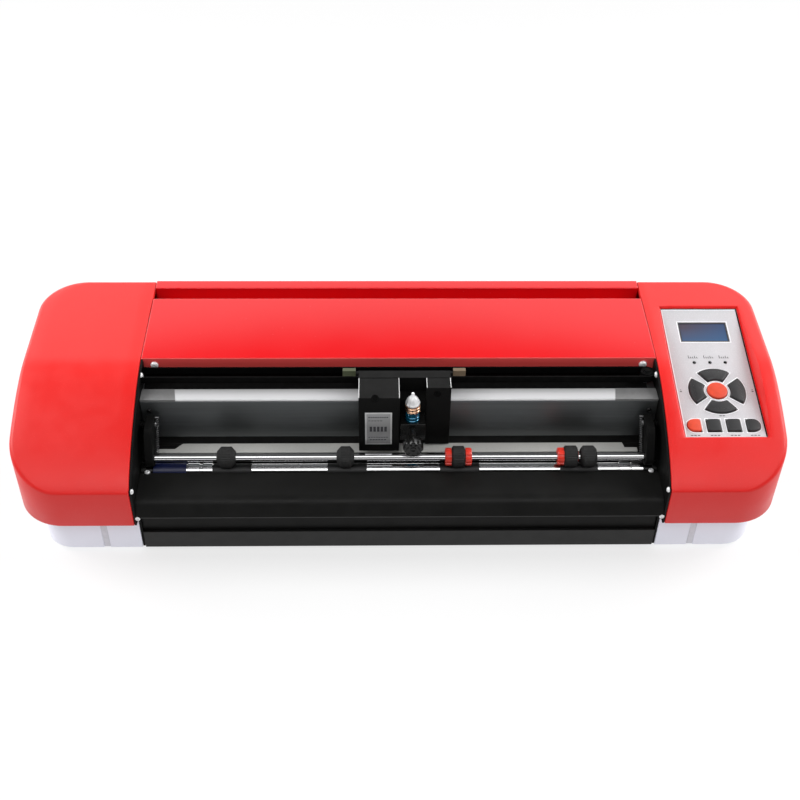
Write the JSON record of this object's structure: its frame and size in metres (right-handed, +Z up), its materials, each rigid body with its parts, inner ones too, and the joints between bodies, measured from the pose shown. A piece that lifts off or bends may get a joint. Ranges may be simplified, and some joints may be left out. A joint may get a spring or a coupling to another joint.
{
  "type": "vinyl cutter",
  "caption": "Desktop vinyl cutter with end covers, a blade carriage on a rail over a media bed, a driven shaft with pinch wheels, and a keypad with a display.",
  "frame": {"origin": "middle of the footprint, on the surface the feet stand on", "axes": "+X to the operator's right along the machine's length, +Y to the back, +Z up"},
  "size_m": [0.596, 0.204, 0.1288],
  "materials": {
    "cap_red": "satin",
    "cover_red": "gloss",
    "cover_grey": "satin",
    "panel_silver": "brushed",
    "black_steel": "satin powder coat",
    "black_plastic": "fine grain",
    "black_anodised": "satin anodised",
    "steel": "ground",
    "strip_grey": "matte",
    "rubber_black": "matte",
    "hub_red": "gloss",
    "sleeve_blue": "gloss",
    "holder_blue": "anodised",
    "key_black": "matte",
    "key_red": "matte",
    "lcd": "gloss",
    "board_green": "satin"
  },
  "bodies": {
    "chassis": {"base_pan": "black_steel", "front_apron": "black_steel", "rear_platen": "black_steel", "cutting_strip": "strip_grey", "left_side_plate": "black_steel", "right_side_plate": "black_steel", "carriage_beam": "black_anodised", "guide_rail": "steel", "top_cover": "cover_red", "left_upper_cover": "cap_red", "left_lower_cover": "cover_grey", "right_upper_cover": "cap_red", "right_lower_cover": "cover_grey", "control_panel": "panel_silver", "lcd_window": "lcd", "feed_motor": "black_anodised", "carriage_motor": "black_anodised", "carriage_belt": "rubber_black", "feed_belt": "rubber_black", "main_board": "board_green", "left_drive_bearing": "steel", "right_drive_bearing": "steel", "foot_front_left": "rubber_black", "foot_front_right": "rubber_black", "foot_rear_left": "rubber_black", "foot_rear_right": "rubber_black"},
    "carriage": {"carriage_plate": "black_steel", "carriage_left_cover": "black_plastic", "carriage_right_cover": "black_plastic"},
    "tool": {"tool_slide": "black_steel", "blade_holder": "holder_blue"},
    "clamp_knob": {"clamp_knob": "black_plastic"},
    "blade_cap": {"blade_cap": "steel"},
    "drive": {"drive_shaft": "steel", "shaft_coupling": "sleeve_blue", "feed_pulley": "steel"},
    "feed_motor_pulley": {"feed_motor_pulley": "steel"},
    "carriage_motor_pulley": {"carriage_motor_pulley": "steel"},
    "idler_pulley": {"idler_pulley": "steel"},
    "pinch_frame": {"pinch_shaft": "steel", "left_pinch_arm": "black_steel", "right_pinch_arm": "black_steel"},
    "pinch_wheel_1": {"pinch_wheel_1": "rubber_black"},
    "pinch_wheel_2": {"pinch_wheel_2": "rubber_black"},
    "pinch_wheel_3": {"pinch_hub_3": "hub_red", "pinch_tyre_3": "rubber_black"},
    "pinch_wheel_4": {"pinch_hub_4": "hub_red", "pinch_tyre_4": "rubber_black"},
    "pinch_wheel_5": {"pinch_wheel_5": "rubber_black"},
    "pinch_release_lever": {"pinch_release_lever": "black_steel"},
    "key_up": {"key_up": "key_black"},
    "key_left": {"key_left": "key_black"},
    "key_down": {"key_down": "key_black"},
    "key_right": {"key_right": "key_black"},
    "key_enter": {"key_enter": "key_red"},
    "key_red": {"key_red": "key_red"},
    "key_a": {"key_a": "key_black"},
    "key_b": {"key_b": "key_black"},
    "key_c": {"key_c": "key_black"},
    "power_switch": {"power_switch": "black_plastic"}
  },
  "joints": [
    {"name": "carriage_slide", "type": "slide", "parent": "chassis", "child": "carriage", "axis": [1, 0, 0], "range_m": [-0.14, 0.135]},
    {"name": "tool_lift", "type": "slide", "parent": "carriage", "child": "tool", "axis": [0, 0, 1], "range_m": [-0.003, 0], "stiffness_N_per_m": 1500, "springref_m": 0.002},
    {"name": "clamp_knob_turn", "type": "hinge", "parent": "tool", "child": "clamp_knob", "pos_m": [0.0094, -0.063, 0.095], "axis": [0, 1, 0], "range_deg": [0, 270]},
    {"name": "blade_cap_turn", "type": "hinge", "parent": "tool", "child": "blade_cap", "pos_m": [0.0094, -0.0411, 0.114], "axis": [0, 0, 1], "range_deg": [-180, 180]},
    {"name": "drive_spin", "type": "hinge", "parent": "chassis", "child": "drive", "pos_m": [0, -0.0581, 0.06], "axis": [1, 0, 0], "continuous": true},
    {"name": "feed_motor_spin", "type": "hinge", "parent": "chassis", "child": "feed_motor_pulley", "pos_m": [-0.216, 0.016, 0.047], "axis": [1, 0, 0], "continuous": true},
    {"name": "carriage_motor_spin", "type": "hinge", "parent": "chassis", "child": "carriage_motor_pulley", "pos_m": [-0.233, -0.0075, 0.116], "axis": [0, 0, 1], "continuous": true},
    {"name": "idler_spin", "type": "hinge", "parent": "chassis", "child": "idler_pulley", "pos_m": [0.1965, -0.0075, 0.116], "axis": [0, 0, 1], "continuous": true},
    {"name": "pinch_release", "type": "hinge", "parent": "chassis", "child": "pinch_release_lever", "pos_m": [0, 0.013, 0.093], "axis": [1, 0, 0], "range_deg": [0, 15]},
    {"name": "pinch_lift", "type": "hinge", "parent": "chassis", "child": "pinch_frame", "pos_m": [0, -0.0385, 0.092], "axis": [1, 0, 0], "range_deg": [-7.2, 0.05]},
    {"name": "pinch_wheel_1_spin", "type": "hinge", "parent": "pinch_frame", "child": "pinch_wheel_1", "pos_m": [-0.13605, -0.0581, 0.0743], "axis": [1, 0, 0], "continuous": true},
    {"name": "pinch_wheel_2_spin", "type": "hinge", "parent": "pinch_frame", "child": "pinch_wheel_2", "pos_m": [-0.043, -0.0581, 0.0743], "axis": [1, 0, 0], "continuous": true},
    {"name": "pinch_wheel_3_spin", "type": "hinge", "parent": "pinch_frame", "child": "pinch_wheel_3", "pos_m": [0.0455, -0.0581, 0.0743], "axis": [1, 0, 0], "continuous": true},
    {"name": "pinch_wheel_4_spin", "type": "hinge", "parent": "pinch_frame", "child": "pinch_wheel_4", "pos_m": [0.13145, -0.0581, 0.0743], "axis": [1, 0, 0], "continuous": true},
    {"name": "pinch_wheel_5_spin", "type": "hinge", "parent": "pinch_frame", "child": "pinch_wheel_5", "pos_m": [0.14795, -0.0581, 0.0743], "axis": [1, 0, 0], "continuous": true},
    {"name": "key_up_press", "type": "slide", "parent": "chassis", "child": "key_up", "axis": [0, -0.1874, 0.9823], "range_m": [-0.001, 0], "stiffness_N_per_m": 200, "springref_m": 0.0015},
    {"name": "key_left_press", "type": "slide", "parent": "chassis", "child": "key_left", "axis": [0, -0.1874, 0.9823], "range_m": [-0.001, 0], "stiffness_N_per_m": 200, "springref_m": 0.0015},
    {"name": "key_down_press", "type": "slide", "parent": "chassis", "child": "key_down", "axis": [0, -0.1874, 0.9823], "range_m": [-0.001, 0], "stiffness_N_per_m": 200, "springref_m": 0.0015},
    {"name": "key_right_press", "type": "slide", "parent": "chassis", "child": "key_right", "axis": [0, -0.1874, 0.9823], "range_m": [-0.001, 0], "stiffness_N_per_m": 200, "springref_m": 0.0015},
    {"name": "key_enter_press", "type": "slide", "parent": "chassis", "child": "key_enter", "axis": [0, -0.1874, 0.9823], "range_m": [-0.001, 0], "stiffness_N_per_m": 200, "springref_m": 0.0015},
    {"name": "key_red_press", "type": "slide", "parent": "chassis", "child": "key_red", "axis": [0, -0.1874, 0.9823], "range_m": [-0.001, 0], "stiffness_N_per_m": 200, "springref_m": 0.0015},
    {"name": "key_a_press", "type": "slide", "parent": "chassis", "child": "key_a", "axis": [0, -0.1874, 0.9823], "range_m": [-0.001, 0], "stiffness_N_per_m": 200, "springref_m": 0.0015},
    {"name": "key_b_press", "type": "slide", "parent": "chassis", "child": "key_b", "axis": [0, -0.1874, 0.9823], "range_m": [-0.001, 0], "stiffness_N_per_m": 200, "springref_m": 0.0015},
    {"name": "key_c_press", "type": "slide", "parent": "chassis", "child": "key_c", "axis": [0, -0.1874, 0.9823], "range_m": [-0.001, 0], "stiffness_N_per_m": 200, "springref_m": 0.0015},
    {"name": "power_rocker", "type": "hinge", "parent": "chassis", "child": "power_switch", "pos_m": [0.218, 0.0864, 0.025], "axis": [1, 0, 0], "range_deg": [-7, 7]}
  ],
  "couplings": [
    {"joint": "feed_motor_spin", "follows": "drive_spin", "ratio": 2.3333},
    {"joint": "pinch_wheel_1_spin", "follows": "drive_spin", "ratio": -0.64706},
    {"joint": "pinch_wheel_2_spin", "follows": "drive_spin", "ratio": -0.64706},
    {"joint": "pinch_wheel_3_spin", "follows": "drive_spin", "ratio": -0.64706},
    {"joint": "pinch_wheel_4_spin", "follows": "drive_spin", "ratio": -0.64706},
    {"joint": "pinch_wheel_5_spin", "follows": "drive_spin", "ratio": -0.64706},
    {"joint": "carriage_motor_spin", "follows": "carriage_slide", "rad_per_m": 172.41},
    {"joint": "idler_spin", "follows": "carriage_slide", "rad_per_m": 172.41},
    {"joint": "pinch_lift", "follows": "pinch_release", "ratio": -0.46667}
  ]
}
